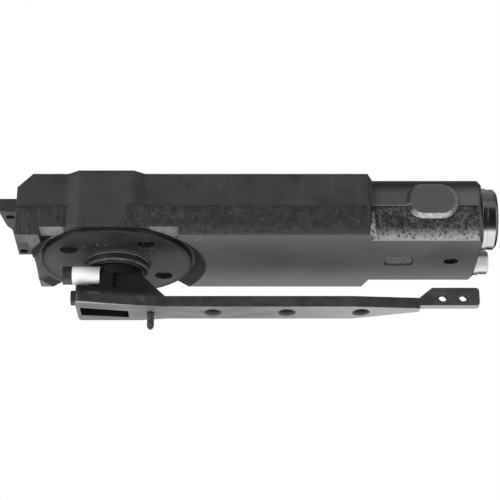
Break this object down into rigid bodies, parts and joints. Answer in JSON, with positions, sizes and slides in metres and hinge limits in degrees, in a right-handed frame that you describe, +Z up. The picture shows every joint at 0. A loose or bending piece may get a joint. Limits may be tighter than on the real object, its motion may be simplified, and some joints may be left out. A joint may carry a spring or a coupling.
{
  "type": "concealed overhead door closer",
  "caption": "Concealed overhead door closer: cast hydraulic housing with a round bearing flange, a spring-loaded rack piston that turns the spindle, and a forged arm for the door's top rail",
  "frame": {"origin": "on the spindle axis, on the flange face that bears on the header", "axes": "X along the housing towards the end plugs, Y towards its back, Z up into the header"},
  "size_m": [0.2661, 0.085, 0.073],
  "materials": {
    "cast_housing": "as cast, machined base",
    "machined_flange": "turned",
    "bearing_bronze": "satin",
    "seal_rubber": "matte",
    "ground_steel": "ground",
    "spring_steel": "oil tempered",
    "plug_steel": "turned",
    "valve_steel": "turned",
    "forged_arm": "forged, phosphated",
    "blackened_screws": "blackened",
    "white_buffer": "moulded"
  },
  "bodies": {
    "housing": {"closer_body": "cast_housing", "spindle_flange": "machined_flange", "lower_bearing": "bearing_bronze", "upper_bearing": "bearing_bronze", "lower_thrust_washer": "bearing_bronze", "upper_thrust_washer": "bearing_bronze", "flange_seal": "seal_rubber", "spindle_seal": "seal_rubber", "closing_spring": "spring_steel", "spring_seat": "ground_steel", "end_plug": "plug_steel", "end_plug_seal": "seal_rubber", "channel_plug": "plug_steel", "channel_plug_seal": "seal_rubber"},
    "arm": {"spindle": "ground_steel", "arm": "forged_arm", "locking_block": "forged_arm", "locking_screw": "blackened_screws", "buffer_sleeve": "white_buffer", "buffer_screw": "blackened_screws", "arm_set_screw": "blackened_screws"},
    "piston": {"piston": "ground_steel", "piston_ring": "ground_steel", "check_ball": "ground_steel", "check_retainer": "ground_steel"},
    "valve": {"speed_valve": "valve_steel", "speed_valve_seal": "seal_rubber"}
  },
  "joints": [
    {"name": "arm_swing", "type": "hinge", "parent": "housing", "child": "arm", "pos_m": [0, 0, 0], "axis": [0, 0, 1], "range_deg": [0, 105], "stiffness_Nm_per_rad": 4, "springref_deg": -103.13},
    {"name": "piston_slide", "type": "slide", "parent": "housing", "child": "piston", "axis": [1, 0, 0], "range_m": [0, 0.0222], "deforming": ["closing_spring"]},
    {"name": "valve_turn", "type": "hinge", "parent": "housing", "child": "valve", "pos_m": [0.1817, -0.0047, 0], "axis": [0, 0, 1], "range_deg": [-180, 180]}
  ],
  "couplings": [
    {"joint": "piston_slide", "follows": "arm_swing", "m_per_rad": 0.012}
  ]
}
